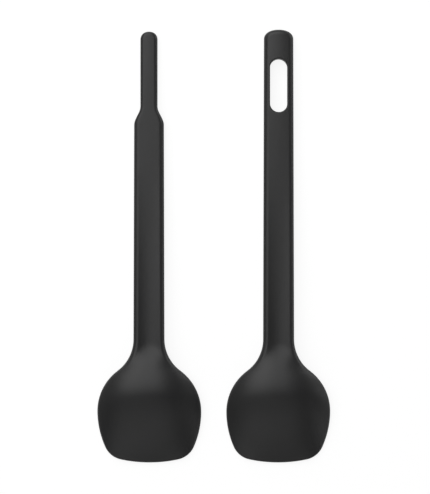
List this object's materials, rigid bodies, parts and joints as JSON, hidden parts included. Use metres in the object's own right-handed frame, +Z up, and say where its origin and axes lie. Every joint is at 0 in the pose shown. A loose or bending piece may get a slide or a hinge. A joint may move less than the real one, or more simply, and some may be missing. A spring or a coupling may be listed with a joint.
{
  "type": "salad servers",
  "caption": "Black moulded salad servers with wide scooped bowls; a handle with a tongue joins a handle with a long slot to make tongs.",
  "frame": {"origin": "centre of the pair's box, on the surface that the servers lie on", "axes": "+X from the tongue server to the slotted server, +Y from the bowl tips to the handle ends, +Z up, out of the servers' backs"},
  "size_m": [0.1616, 0.3002, 0.02],
  "materials": {
    "black_plastic": "satin moulded, fine grain"
  },
  "bodies": {
    "slotted_server": {"slotted_server": "black_plastic"},
    "tongue_server": {"tongue_server": "black_plastic"}
  },
  "joints": [
    {"name": "tongue_server_lift", "type": "slide", "parent": "slotted_server", "child": "tongue_server", "axis": [0, 0, 1], "range_m": [0, 0.12]}
  ]
}
